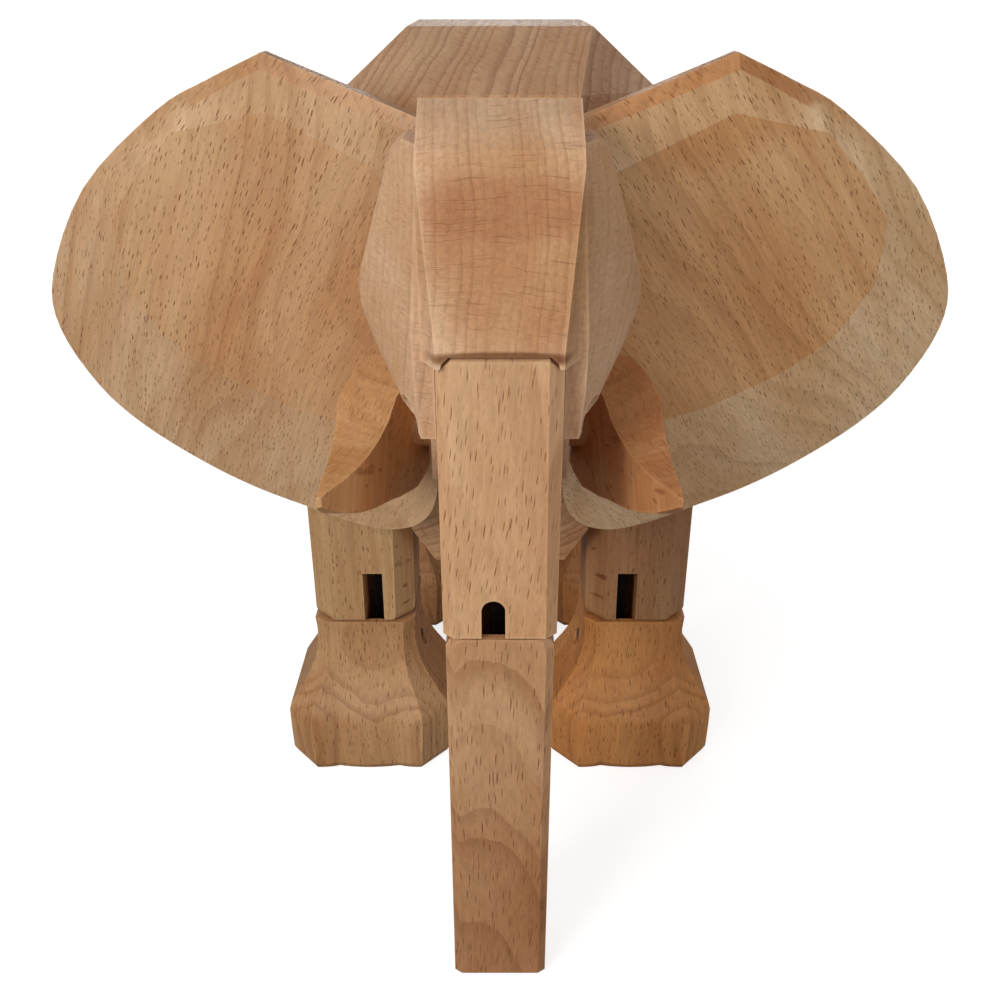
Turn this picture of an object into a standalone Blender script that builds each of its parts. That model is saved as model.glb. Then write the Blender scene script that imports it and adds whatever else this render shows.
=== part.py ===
"""A jointed beech elephant figure.

Seventeen carved blocks are held together by dowels and by elastic cords that run
inside the wood: body, head, two ears, two tusks, two trunk pieces, four upper
legs, four feet and a tail.
The figure faces -Y, +Z is up, X = 0 is its plane of symmetry and Z = 0 is the
ground. All driving dimensions are in millimetres.
"""

import itertools
import math

import bmesh
import bpy
from mathutils import Vector

MM = 0.001
GAP = 0.3  # clearance between touching pieces
FRAME_Y = 21.3  # moves the origin from between the feet to the middle of the length

# body block
RIDGE_Z = 172.0
RIDGE_HALF = 18.6
BODY_HALF = 45.5
BODY_FRONT_Y = -66.2
BODY_REAR_Y = 63.0
KEEL_HALF = 20.2
KEEL_BOTTOM_Z = 56.0
WING_BOTTOM_Z = 92.0

# head
HEAD_HALF = 12.4
HEAD_REAR_Y = BODY_FRONT_Y - GAP
SLOT_HALF = 10.15
SLOT_R = 16.7
SLOT_CHAMFER = 2.5
NECK_Z = 138.0

# trunk
TRUNK_FRONT_Y = -113.0
TRUNK_HALF = 9.85
TRUNK_LOW_HALF = 9.2
TRUNK_PIN_Y = -102.5
TRUNK_PIN_Z = 114.8
TRUNK_PIN_R = 3.25
TRUNK_TOP_Z = 127.2
TRUNK_SPLIT_Z = 79.0
TRUNK_TIP_Z = 1.2
TRUNK_CORD_Y = -102.7
TRUNK_ANCHOR_Z = 67.0
TRUNK_ANCHOR_R = 3.5
TRUNK_SLOT_HALF = 2.0
TRUNK_SLOT_X = -1.1
RELIEF_WALL = 1.8  # wood left in front of the hidden relief below each slot
RELIEF_DEPTH = 9.0
TRUNK_SLOT_TOP_Z = 86.2

# ears: each is a plate whose front face is the plane
# y = EAR_Y + EAR_SWEEP * |x| - EAR_LEAN * (z - EAR_Z)
EAR_Y = -80.0
EAR_SWEEP = 0.36
EAR_LEAN = 0.23
EAR_Z = 125.0
EAR_THICK = 7.6
EAR_AXIS_Y = -72.0
EAR_AXIS_Z = 127.0
EAR_MIDDLE = (45.0, 122.0)
EAR_STRIP = 2.7  # width of the bevel along the top edge
EAR_BAND_DEPTH = 0.55
EAR_FACET = (  # the flat middle of the front face, as x and z
    (13.9, 147.0),
    (40.0, 158.6),
    (58.4, 154.6),
    (67.0, 147.0),
    (74.8, 137.6),
    (75.4, 124.6),
    (68.8, 113.4),
    (57.6, 106.2),
    (42.4, 100.4),
    (33.7, 98.9),
    (13.9, 97.0),
)

# tusks
TUSK_OUTER = 29.0
TUSK_EAR_GAP = 4.6
TUSK_DOWEL_Y = -77.0
TUSK_DOWEL_Z = 104.0
TUSK_DOWEL_R = 2.5

# legs
LEG_X = 33.0
LEG_HALF = 12.5
LEG_DEPTH = 13.0
LEG_CHAMFER = 4.4
LEG_FOOT_HALF = 12.1  # half width at the knee
LEG_ROUND = 1.5  # how far the lower edges are taken back
LEG_CORD_X = 30.4  # the cord, its channel and its slot sit inward of the leg's middle
FRONT_AXLE_Y = -29.5
REAR_AXLE_Y = 38.5
AXLE_Z = 84.0
KNEE_Z = 39.3
KNEE_SLOT_HALF = 2.35
KNEE_SLOT_TOP_Z = 52.4
FOOT_HALF = 20.25
FOOT_DEPTH = 19.0
FOOT_DOWEL_Z = 27.0
FOOT_DOWEL_R = 2.0
CORD_R = 1.5
CHANNEL_R = 4.6
PLUG_R = 4.6

# tail
TAIL_AXIS_Y = 67.0
TAIL_AXIS_Z = 126.0


def clear_scene():
    for obj in list(bpy.data.objects):
        bpy.data.objects.remove(obj, do_unlink=True)


def material(name, colour, roughness):
    mat = bpy.data.materials.new(name)
    mat.use_nodes = True
    shader = mat.node_tree.nodes["Principled BSDF"]
    shader.inputs["Base Color"].default_value = (*colour, 1.0)
    shader.inputs["Roughness"].default_value = roughness
    shader.inputs["Metallic"].default_value = 0.0
    mat.diffuse_color = (*colour, 1.0)
    return mat


def finish(name, bm, mat, smooth_angle=None):
    """Turn a bmesh in millimetres into a named object in metres."""
    bmesh.ops.recalc_face_normals(bm, faces=bm.faces)
    bmesh.ops.translate(bm, vec=(0, FRAME_Y, 0), verts=bm.verts)
    bmesh.ops.scale(bm, vec=(MM, MM, MM), verts=bm.verts)
    mesh = bpy.data.meshes.new(name)
    bm.to_mesh(mesh)
    bm.free()
    obj = bpy.data.objects.new(name, mesh)
    bpy.context.scene.collection.objects.link(obj)
    if mat is not None:
        mesh.materials.append(mat)
    if smooth_angle is not None:
        mesh.shade_smooth()
        mesh.set_sharp_from_angle(angle=math.radians(smooth_angle))
    return obj


def place_origin(obj, point):
    """Move the object's origin to a point in millimetres, leaving its shape where it is."""
    offset = Vector((point[0], point[1] + FRAME_Y, point[2])) * MM
    for vertex in obj.data.vertices:
        vertex.co -= offset
    obj.location = offset


def mirrored(points):
    return [(s * x, y, z) for s in (-1, 1) for x, y, z in points]


def hull(name, points, mat=None, smooth_angle=None):
    """The convex block round a set of points."""
    bm = bmesh.new()
    for point in points:
        bm.verts.new(point)
    bmesh.ops.remove_doubles(bm, verts=bm.verts, dist=0.01)
    result = bmesh.ops.convex_hull(bm, input=list(bm.verts))
    loose = [g for g in result["geom_interior"] if isinstance(g, bmesh.types.BMVert)]
    bmesh.ops.delete(bm, geom=loose, context="VERTS")
    bmesh.ops.dissolve_limit(
        bm, angle_limit=math.radians(0.2), verts=bm.verts, edges=bm.edges
    )
    return finish(name, bm, mat, smooth_angle)


def loft(name, rings, mat=None, smooth_angle=None):
    """A closed skin through rings that have the same number of points."""
    bm = bmesh.new()
    rows = [[bm.verts.new(point) for point in ring] for ring in rings]
    count = len(rows[0])
    for low, high in zip(rows, rows[1:]):
        for i in range(count):
            j = (i + 1) % count
            bm.faces.new((low[i], low[j], high[j], high[i]))
    bm.faces.new(list(reversed(rows[0])))
    bm.faces.new(rows[-1])
    return finish(name, bm, mat, smooth_angle)


def turned(name, axis, centre, profile, segments=24, mat=None):
    """A turned solid: profile is (distance along the axis, radius), along axis x, y or z."""
    rings = []
    for along, radius in profile:
        ring = []
        for i in range(segments):
            a = 2 * math.pi * i / segments
            u = radius * math.cos(a)
            v = radius * math.sin(a)
            offset = {"x": (along, u, v), "y": (v, along, u), "z": (u, v, along)}[axis]
            ring.append(tuple(c + o for c, o in zip(centre, offset)))
        rings.append(ring)
    return loft(name, rings, mat, 40)


def rod(name, axis, centre, low, high, radius, segments=24, mat=None):
    return turned(name, axis, centre, [(low, radius), (high, radius)], segments, mat)


def box(name, low, high):
    spans = zip(low, high)
    corners = list(itertools.product(*spans))
    return hull(name, corners)


def boolean(obj, other, operation):
    other.hide_render = True
    other.display_type = "WIRE"
    step = obj.modifiers.new(other.name, "BOOLEAN")
    step.object = other
    step.operation = operation
    step.solver = "EXACT"


def cut(obj, *cutters):
    for cutter in cutters:
        boolean(obj, cutter, "DIFFERENCE")


def join(obj, *others):
    for other in others:
        boolean(obj, other, "UNION")


# body


def make_body(mat):
    front = [
        (HEAD_HALF, BODY_FRONT_Y, 153.5),
        (HEAD_HALF, BODY_FRONT_Y, 121.0),
        (14.6, -60.5, 160.5),
        (19.0, -58.5, 140.0),
        (14.0, -57.0, 112.0),
    ]
    shoulders = [
        (RIDGE_HALF + 0.4, -27.0, RIDGE_Z - 0.8),
        (33.0, -29.0, 159.0),
        (43.5, -34.0, 134.0),
        (43.5, -40.0, 112.0),
        (42.0, -40.5, WING_BOTTOM_Z),
        (18.0, -50.0, WING_BOTTOM_Z),
    ]
    middle = [
        (RIDGE_HALF, 4.0, RIDGE_Z),
        (33.5, 6.0, 158.5),
        (BODY_HALF, 8.0, 134.0),
        (BODY_HALF, 8.0, WING_BOTTOM_Z),
    ]
    rump = [
        (15.0, 38.0, 165.5),
        (29.0, 40.0, 153.0),
        (42.0, 44.0, 130.0),
        (42.0, 50.5, 108.0),
        (41.0, 51.5, WING_BOTTOM_Z),
        (9.5, 57.0, 147.0),
        (17.0, BODY_REAR_Y, 127.0),
        (17.0, BODY_REAR_Y, 104.0),
        (19.0, 60.0, WING_BOTTOM_Z),
    ]
    body = hull("body", mirrored(front + shoulders + middle + rump), mat)
    keel_line = [
        (KEEL_HALF, -49.0, WING_BOTTOM_Z + 6),
        (KEEL_HALF, -46.0, 66.0),
        (KEEL_HALF - 5, -42.0, KEEL_BOTTOM_Z),
        (KEEL_HALF, -38.0, KEEL_BOTTOM_Z + 5),
        (KEEL_HALF, 48.0, KEEL_BOTTOM_Z + 5),
        (KEEL_HALF - 5, 48.0, KEEL_BOTTOM_Z),
        (KEEL_HALF, 55.0, 68.0),
        (KEEL_HALF, 58.0, WING_BOTTOM_Z + 6),
    ]
    join(body, hull("body_keel", mirrored(keel_line)))
    for label, y in (("front", FRONT_AXLE_Y), ("rear", REAR_AXLE_Y)):
        for side in (-1, 1):
            notch = rod(
                f"body_{label}_notch_{side + 1}", "x", (0, y, AXLE_Z),
                side * KEEL_HALF, side * (BODY_HALF + 6), LEG_DEPTH + 0.6, 48,
            )
            cut(body, notch)
        cut(body, rod(f"body_{label}_axle_hole", "x", (0, y, AXLE_Z), -40, 40, 2.0, 16))
    cut(body, rod("body_neck_hole", "y", (0, 0, NECK_Z), -80, -41.5, 2.1, 16))
    cut(body, rod("body_neck_recess", "y", (0, 0, NECK_Z), -52.0, -41.0, 3.9, 20))
    cut(body, rod("body_tail_hole", "y", (0, 0, TAIL_AXIS_Z), 47.5, 80, 1.6, 16))
    return body


# head


def make_head(mat):
    block = [
        (HEAD_HALF, -106.4, 154.2),
        (HEAD_HALF, -104.7, 156.4),
        (HEAD_HALF, -94.5, 162.7),
        (HEAD_HALF, -83.5, 160.6),
        (HEAD_HALF, -83.5, 140.0),
        (9.7, TRUNK_FRONT_Y, 128.6),
        (9.7, TRUNK_FRONT_Y, 126.0),
        (12.6, -107.0, 126.0),
    ]
    cheeks = [
        (HEAD_HALF, -105.6, 155.2),
        (HEAD_HALF, -103.5, 157.0),
        (13.5, -108.2, 129.4),
        (13.4, -107.6, 121.0),
        (14.6, -98.0, 157.2),
        (16.8, -92.5, 155.6),
        (18.1, -89.5, 152.6),
        (18.6, -88.6, 148.5),
        (20.6, -94.3, 131.8),
        (18.0, -96.6, 124.6),
        (14.1, -101.2, 118.2),
        (12.6, -106.5, 112.4),
        (23.4, -90.6, 134.4),
        (23.3, -88.4, 129.4),
        (21.2, -88.0, 122.6),
        (16.8, -89.6, 116.2),
        (14.6, -86.3, 157.4),
        (16.8, -86.3, 155.8),
        (18.1, -86.3, 152.6),
        (18.5, -86.3, 148.5),
        (23.2, -83.5, 134.0),
        (22.6, -83.5, 129.4),
        (20.4, -83.5, 122.8),
        (16.0, -83.5, 116.6),
        (12.6, -83.5, 112.0),
    ]
    head = hull("head", mirrored(block), mat)
    join(head, hull("head_cheeks", mirrored(cheeks)))
    neck = [
        (HEAD_HALF, -88.0, 160.0),
        (HEAD_HALF, HEAD_REAR_Y, 153.5),
        (HEAD_HALF, HEAD_REAR_Y, 121.0),
        (HEAD_HALF, -71.5, 96.0),
        (HEAD_HALF, -85.3, 96.0),
        (HEAD_HALF, -88.0, 112.5),
    ]
    join(head, hull("head_neck", mirrored(neck)))
    pin_at = (0, TRUNK_PIN_Y, TRUNK_PIN_Z)
    slot_top = SLOT_HALF - SLOT_CHAMFER
    slot_profile = [
        (-SLOT_HALF, SLOT_R - SLOT_CHAMFER),
        (-slot_top, SLOT_R),
        (slot_top, SLOT_R),
        (SLOT_HALF, SLOT_R - SLOT_CHAMFER),
    ]
    cut(head, turned("head_slot", "x", pin_at, slot_profile, 64))
    mouth = [
        (SLOT_HALF, -90.0, TRUNK_PIN_Z),
        (SLOT_HALF, -122.0, TRUNK_PIN_Z + 10.8),
        (slot_top, -122.0, TRUNK_PIN_Z + 13.1),
        (slot_top, -106.0, TRUNK_PIN_Z + 13.1),
        (SLOT_HALF, -122.0, 90.0),
        (SLOT_HALF, -90.0, 90.0),
    ]
    cut(head, hull("head_mouth", mirrored(mouth)))
    cut(head, rod("head_pin_hole", "x", pin_at, -40, 40, TRUNK_PIN_R + GAP, 24))
    cut(head, rod("head_ear_hole", "x", (0, EAR_AXIS_Y, EAR_AXIS_Z), -13, 13, 1.9, 16))
    tusk_at = (0, TUSK_DOWEL_Y, TUSK_DOWEL_Z)
    cut(head, rod("head_tusk_hole", "x", tusk_at, -40, 40, TUSK_DOWEL_R + GAP, 20))
    cut(head, rod("head_neck_hole", "y", (0, 0, NECK_Z), -79.0, -60.0, 2.1, 16))
    cut(head, rod("head_neck_recess", "y", (0, 0, NECK_Z), -79.5, -74.4, 3.9, 20))
    return head


# ears


def ear_point(side, x, z, depth):
    y = EAR_Y + EAR_SWEEP * x - EAR_LEAN * (z - EAR_Z) + depth
    return (side * x, y, z)


def smooth_run(points, steps):
    """Points on a Catmull-Rom curve through the given points, which may have any length."""
    run = []
    for i in range(len(points) - 1):
        before = points[max(i - 1, 0)]
        start = points[i]
        end = points[i + 1]
        after = points[min(i + 2, len(points) - 1)]
        for k in range(steps):
            t = k / steps
            run.append(tuple(
                0.5 * (2 * b + (c - a) * t + (2 * a - 5 * b + 4 * c - d) * t * t
                       + (3 * b - a - 3 * c + d) * t ** 3)
                for a, b, c, d in zip(before, start, end, after)
            ))
    run.append(points[-1])
    return run


def ear_outline():
    """Points round the rim of the left ear: x, z, depth of the front edge, width of the
    rear bevel, depth of the rear edge, and how far the edge bevel is a narrow strip."""
    full = EAR_THICK - 0.8
    thin = EAR_THICK - 2.8
    straight = [
        (12.7, 96.5, 0.7, 0.8, full, 0.0),
        (12.7, 150.0, 0.7, 0.8, full, 0.0),
        (12.7, 158.3, 1.8, 0.8, full, 1.0),
        (26.0, 163.2, 2.2, 1.0, full, 1.0),
    ]
    curve = [
        (39.7, 168.2, 2.4, 1.2, full, 1.0),
        (50.5, 163.6, 2.4, 1.4, full, 1.0),
        (61.8, 158.0, 2.6, 2.0, full, 0.2),
        (80.8, 143.0, 2.8, 3.0, full, 0.0),
        (93.4, 124.0, 3.0, 4.5, full, 0.0),
        (95.4, 111.5, 3.2, 6.0, full, 0.0),
        (89.4, 98.2, 3.3, 8.0, thin, 0.0),
        (80.4, 89.3, 3.3, 10.0, thin, 0.0),
        (67.3, 81.6, 3.3, 11.0, thin, 0.0),
        (55.2, 76.6, 3.3, 12.0, thin, 0.0),
        (43.0, 73.4, 3.3, 12.0, thin, 0.0),
        (32.0, 70.9, 3.3, 11.0, thin, 0.0),
        (23.0, 71.0, 3.2, 9.0, thin, 0.0),
        (16.2, 75.2, 2.8, 5.0, thin, 0.0),
        (13.1, 83.0, 2.4, 1.4, full, 0.0),
        (12.7, 96.5, 0.7, 0.8, full, 0.0),
    ]
    return straight + smooth_run(curve, 4)[:-1]


def ray_hit(outline, centre, angle):
    """Where a ray from the centre crosses a closed outline, with its other columns."""
    dx = math.cos(angle)
    dz = math.sin(angle)
    best = None
    for i, end in enumerate(outline):
        start = outline[i - 1]
        ex = end[0] - start[0]
        ez = end[1] - start[1]
        cross = dx * ez - dz * ex
        if abs(cross) < 1e-9:
            continue
        sx = start[0] - centre[0]
        sz = start[1] - centre[1]
        reach = (sx * ez - sz * ex) / cross
        along = (sx * dz - sz * dx) / cross
        if reach > 0 and -1e-6 <= along <= 1 + 1e-6 and (best is None or reach > best[0]):
            best = (reach, [a + (b - a) * along for a, b in zip(start, end)])
    return best[1]


def angles_round(outlines, centre):
    """The directions of every corner, in order, without near repeats."""
    found = sorted(
        math.atan2(point[1] - centre[1], point[0] - centre[0])
        for outline in outlines
        for point in outline
    )
    kept = [found[0]]
    for angle in found[1:]:
        if angle - kept[-1] > math.radians(1.1):
            kept.append(angle)
    return kept


def towards(start, end, share):
    return tuple(a + (b - a) * share for a, b in zip(start[:2], end[:2]))


def make_ear(name, side, mat):
    outline = ear_outline()
    angles = angles_round((EAR_FACET, outline), EAR_MIDDLE)
    rim = [ray_hit(outline, EAR_MIDDLE, a) for a in angles]
    facet = [ray_hit(EAR_FACET, EAR_MIDDLE, a) for a in angles]
    rings = [[], [], [], [], []]
    for edge, inner in zip(rim, facet):
        x, z, front_depth, rear_width, rear_depth, strip = edge
        width = math.dist((x, z), inner[:2])
        reach = math.dist((x, z), EAR_MIDDLE)
        share = 0.5 + strip * (EAR_STRIP / width - 0.5)
        middle = towards((x, z), inner, share)
        middle_depth = (1 - strip) * 0.5 * front_depth + strip * EAR_BAND_DEPTH
        rear = towards((x, z), EAR_MIDDLE, rear_width / reach)
        rings[0].append(ear_point(side, *rear, EAR_THICK))
        rings[1].append(ear_point(side, x, z, rear_depth))
        rings[2].append(ear_point(side, x, z, front_depth))
        rings[3].append(ear_point(side, *middle, middle_depth))
        rings[4].append(ear_point(side, inner[0], inner[1], 0.0))
    ear = loft(name, rings, mat, 9)
    hole_at = (0, EAR_AXIS_Y, EAR_AXIS_Z)
    cut(ear, rod(f"{name}_hole", "x", hole_at, side * 5, side * 18.4, 1.9, 16))
    return ear


# tusks


def tusk_section(side, y, inner, outer, top_outer, low, shoulder, top):
    return [
        (side * inner, y, low),
        (side * outer, y, low),
        (side * outer, y, shoulder),
        (side * top_outer, y, top),
        (side * inner, y, top),
    ]


def behind_ear_plane(name, side):
    """The space behind a plane that keeps the tusk's root clear of the tilting ear."""
    corners = []
    for x in (2.0, 45.0):
        for z in (80.0, 130.0):
            front = ear_point(side, x, z, -TUSK_EAR_GAP)
            corners.append(front)
            corners.append((front[0], front[1] + 30.0, z))
    return hull(name, corners)


def make_tusk(name, side, mat):
    stations = [
        (-69.0, 12.9, 27.4, 22.0, 95.0, 107.0, 114.5),
        (-76.0, 14.2, 28.4, 24.0, 93.4, 109.5, 116.8),
        (-80.0, 15.6, 29.0, 26.4, 92.1, 110.0, 115.0),
        (-85.4, 18.4, TUSK_OUTER, 28.8, 92.5, 111.4, 112.0),
        (-89.4, 19.6, TUSK_OUTER, 28.8, 93.7, 108.2, 108.8),
        (-93.5, 20.8, TUSK_OUTER, 28.8, 94.7, 106.6, 107.2),
        (-98.0, 22.0, TUSK_OUTER, 28.8, 95.9, 105.7, 106.3),
        (-103.0, 23.5, TUSK_OUTER, 28.8, 97.6, 105.3, 105.9),
        (-108.0, 25.2, TUSK_OUTER, 28.8, 99.9, 105.2, 105.8),
        (-112.0, 27.0, TUSK_OUTER, 28.8, 102.4, 105.3, 105.8),
        (-114.0, 28.0, TUSK_OUTER - 0.2, 28.6, 103.8, 105.2, 105.5),
    ]
    rings = [tusk_section(side, *station) for station in stations]
    tusk = loft(name, rings, mat, 22)
    at = (0, TUSK_DOWEL_Y, TUSK_DOWEL_Z)
    join(tusk, rod(f"{name}_boss", "x", at, side * 12.75, side * 18.0, 4.4, 32))
    cut(tusk, behind_ear_plane(f"{name}_root_cut", side))
    cut(tusk, rod(f"{name}_hole", "x", at, side * 10, side * 22.3, TUSK_DOWEL_R + GAP, 20))
    return tusk


# trunk


def cord_with_eyes(name, x, y, ends, mat):
    """A straight upright cord that ends in an eye round a dowel at each end."""
    low, high = ends
    start = low["z"] + 0.5 * (low["inner"] + low["outer"])
    stop = high["z"] - 0.5 * (high["inner"] + high["outer"])
    cord = rod(name, "z", (x, y, 0), start, stop, CORD_R, 20, mat)
    for label, end in (("low", low), ("high", high)):
        at = (x, end["y"], end["z"])
        outer = rod(f"{name}_{label}_eye", "x", at, -1.4, 1.4, end["outer"], 32)
        join(cord, outer)
    for label, end in (("low", low), ("high", high)):
        at = (x, end["y"], end["z"])
        cut(cord, rod(f"{name}_{label}_bore", "x", at, -4, 4, end["inner"], 24))
    return cord


def make_trunk_upper(mat):
    side_line = [
        (TRUNK_FRONT_Y, TRUNK_SPLIT_Z),
        (TRUNK_FRONT_Y, TRUNK_TOP_Z),
        (-108.5, 129.6),
        (-103.0, 130.9),
        (-97.5, 129.6),
        (-93.2, 125.4),
        (-92.3, 119.0),
        (-92.3, 110.0),
        (-94.5, TRUNK_SPLIT_Z),
    ]
    points = []
    middle_y = TRUNK_PIN_Y
    for y, z in side_line:
        half = TRUNK_HALF - 0.25 * (TRUNK_TOP_Z - z) / (TRUNK_TOP_Z - TRUNK_SPLIT_Z)
        inset_y = y + (1.7 if y < middle_y else -1.4)
        at_top = z > 122
        inset_z = z - 2.0 if at_top else z
        points.append((half - (2.4 if at_top else 1.9), y, z))
        points.append((half, inset_y, inset_z))
    trunk = hull("trunk_upper", mirrored(points), mat)
    pin_at = (0, TRUNK_PIN_Y, TRUNK_PIN_Z)
    cord_at = (0, TRUNK_CORD_Y, 0)
    cut(trunk, rod("trunk_upper_pin_hole", "x", pin_at, -20, 20, TRUNK_PIN_R + GAP, 24))
    channel_top = TRUNK_PIN_Z + 5.7
    cut(trunk, rod("trunk_upper_channel", "z", cord_at, 70, channel_top, 5.8, 32))
    front = TRUNK_FRONT_Y - 5
    arch_z = TRUNK_SLOT_TOP_Z - TRUNK_SLOT_HALF
    slot = box(
        "trunk_upper_slot",
        (TRUNK_SLOT_X - TRUNK_SLOT_HALF, front, 70),
        (TRUNK_SLOT_X + TRUNK_SLOT_HALF, TRUNK_CORD_Y, arch_z),
    )
    arch_at = (TRUNK_SLOT_X, 0, arch_z)
    arch = rod("trunk_upper_arch", "y", arch_at, front, TRUNK_CORD_Y, TRUNK_SLOT_HALF, 24)
    cut(trunk, slot, arch)
    return trunk


def make_trunk_lower(mat):
    top_z = TRUNK_SPLIT_Z - GAP
    points = []
    levels = (
        (top_z, TRUNK_LOW_HALF - 1.7, -94.8),
        (top_z - 0.5, TRUNK_LOW_HALF - 0.6, -94.8),
        (top_z - 1.7, TRUNK_LOW_HALF, -94.9),
        (TRUNK_TIP_Z, TRUNK_LOW_HALF - 0.3, -97.5),
    )
    for z, half, rear in levels:
        for y, inward in ((TRUNK_FRONT_Y, 1.0), (rear, -1.0)):
            points.append((half - 1.4, y, z))
            points.append((half, y + inward, z))
    trunk = hull("trunk_lower", mirrored(points), mat)
    cord_at = (0, TRUNK_CORD_Y, 0)
    anchor_at = (0, TRUNK_CORD_Y, TRUNK_ANCHOR_Z)
    cut(trunk, rod("trunk_lower_channel", "z", cord_at, TRUNK_ANCHOR_Z - 6.2, 90, 5.8, 32))
    relief = box(
        "trunk_lower_relief",
        (TRUNK_SLOT_X - TRUNK_SLOT_HALF, TRUNK_FRONT_Y + RELIEF_WALL, top_z - RELIEF_DEPTH),
        (TRUNK_SLOT_X + TRUNK_SLOT_HALF, TRUNK_CORD_Y, 90),
    )
    cut(trunk, relief)
    cut(trunk, rod("trunk_lower_anchor_hole", "x", anchor_at, -20, 20, TRUNK_ANCHOR_R + GAP, 24))
    return trunk


def make_trunk_cord(mat):
    low = {"y": TRUNK_CORD_Y, "z": TRUNK_ANCHOR_Z, "inner": 3.9, "outer": 5.4}
    high = {"y": TRUNK_PIN_Y, "z": TRUNK_PIN_Z, "inner": 3.7, "outer": 5.0}
    return cord_with_eyes("trunk_cord", 0, TRUNK_CORD_Y, (low, high), mat)


# legs


def make_upper_leg(name, side, axle_y, mat):
    x = side * LEG_X
    points = []
    steps = 20
    for k in range(steps + 1):
        a = math.pi * k / steps
        for half, radius in ((LEG_HALF - LEG_CHAMFER, LEG_DEPTH), (LEG_HALF, LEG_DEPTH - LEG_CHAMFER)):
            y = axle_y + radius * math.cos(a)
            z = AXLE_Z + radius * math.sin(a)
            points += [(x - half, y, z), (x + half, y, z)]
    low_edge = ((0.0, 1.0), (0.3, 0.3), (1.0, 0.0))  # shares of LEG_ROUND, inward and up
    for inward, up in low_edge:
        inset = LEG_ROUND * inward
        z = KNEE_Z + LEG_ROUND * up
        wide = LEG_FOOT_HALF - inset
        deep = LEG_DEPTH - 0.3 * inset
        for half, depth in ((wide - LEG_CHAMFER, deep), (wide, deep - LEG_CHAMFER)):
            for sx, sy in itertools.product((-1, 1), (-1, 1)):
                points.append((x + sx * half, axle_y + sy * depth, z))
    leg = hull(name, points, mat, 22)
    cord_x = side * LEG_CORD_X
    channel = rod(
        f"{name}_channel", "z", (cord_x, axle_y, 0), 30, AXLE_Z + 4.6, CHANNEL_R, 32
    )
    slot = box(
        f"{name}_slot",
        (cord_x - KNEE_SLOT_HALF, axle_y - 20, 30),
        (cord_x + KNEE_SLOT_HALF, axle_y, KNEE_SLOT_TOP_Z),
    )
    at = (0, axle_y, AXLE_Z)
    outer = LEG_X + LEG_HALF
    cut(leg, channel, slot)
    cut(leg, rod(f"{name}_axle_hole", "x", at, side * 15, side * (outer - 5), 1.9, 16))
    cut(leg, rod(f"{name}_plug_hole", "x", at, side * (outer - 7.6), side * (outer + 5), PLUG_R + GAP, 24))
    return leg


def toe_swell(across):
    """How far the toes stand out, from 0 to 1, at a distance from the foot's middle."""
    if abs(across) < 7.4:
        wave = math.cos(0.5 * math.pi * across / 7.4)
    else:
        wave = math.cos(0.5 * math.pi * (abs(across) - 12.6) / 5.2)
    return max(wave, 0.0) ** 0.6


def foot_ring(x, y, z, half, depth, chamfer, lobe):
    """One level of a foot: a rectangle with cut corners and three toes at the front."""
    steps = 24
    flat = half - chamfer
    ring = []
    for i in range(steps + 1):
        across = flat * (2 * i / steps - 1)
        ring.append((x + across, y - depth - lobe * toe_swell(across), z))
    corners = [
        (half, chamfer - depth),
        (half, depth - chamfer),
        (flat, depth),
        (-flat, depth),
        (-half, depth - chamfer),
        (-half, chamfer - depth),
    ]
    return ring + [(x + cx, y + cy, z) for cx, cy in corners]


def make_foot(name, side, axle_y, mat):
    x = side * LEG_X
    levels = [
        (0.0, 19.4, 18.2, 6.4, 0.9),
        (1.5, 20.05, 18.8, 6.6, 1.1),
        (8.0, FOOT_HALF, FOOT_DEPTH, 6.6, 1.0),
        (13.2, FOOT_HALF, FOOT_DEPTH, 6.4, 0.7),
        (15.2, 19.7, 18.6, 6.0, 0.4),
        (18.0, 18.0, 17.2, 5.2, 0.1),
        (21.0, 16.1, 15.8, 4.5, 0.0),
        (24.0, 14.4, 14.6, 3.9, 0.0),
        (27.5, 13.0, 13.6, 3.3, 0.0),
        (31.5, 12.2, 13.0, 2.9, 0.0),
        (35.5, 12.0, 12.8, 2.7, 0.0),
        (KNEE_Z - GAP, 12.3, 13.0, 2.7, 0.0),
    ]
    rings = [foot_ring(x, axle_y, *level) for level in levels]
    foot = loft(name, rings, mat, 24)
    cord_at = (side * LEG_CORD_X, axle_y, 0)
    channel = rod(f"{name}_channel", "z", cord_at, FOOT_DOWEL_Z - 4.4, 60, CHANNEL_R, 32)
    relief = box(
        f"{name}_relief",
        (cord_at[0] - KNEE_SLOT_HALF, axle_y - LEG_DEPTH + RELIEF_WALL, KNEE_Z - RELIEF_DEPTH),
        (cord_at[0] + KNEE_SLOT_HALF, axle_y, 60),
    )
    cut(foot, relief)
    dowel_at = (x, axle_y, FOOT_DOWEL_Z)
    dowel_hole = rod(f"{name}_dowel_hole", "x", dowel_at, -30, 30, FOOT_DOWEL_R + GAP, 20)
    cut(foot, channel, dowel_hole)
    return foot


def make_leg_cord(name, side, axle_y, mat):
    x = side * LEG_CORD_X
    low = {"y": axle_y, "z": FOOT_DOWEL_Z, "inner": 2.3, "outer": 3.8}
    high = {"y": axle_y, "z": AXLE_Z, "inner": 1.9, "outer": 3.6}
    return cord_with_eyes(name, x, axle_y, (low, high), mat)


def make_axle_cord(name, y, mat):
    outer = LEG_X + LEG_HALF
    knot = outer - 5.0
    profile = [
        (-knot, 1.2),
        (-knot + 0.5, 2.8),
        (-knot + 1.6, 2.8),
        (-knot + 2.4, CORD_R),
        (knot - 2.4, CORD_R),
        (knot - 1.6, 2.8),
        (knot - 0.5, 2.8),
        (knot, 1.2),
    ]
    return turned(name, "x", (0, y, AXLE_Z), profile, 20, mat)


# tail


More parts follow.
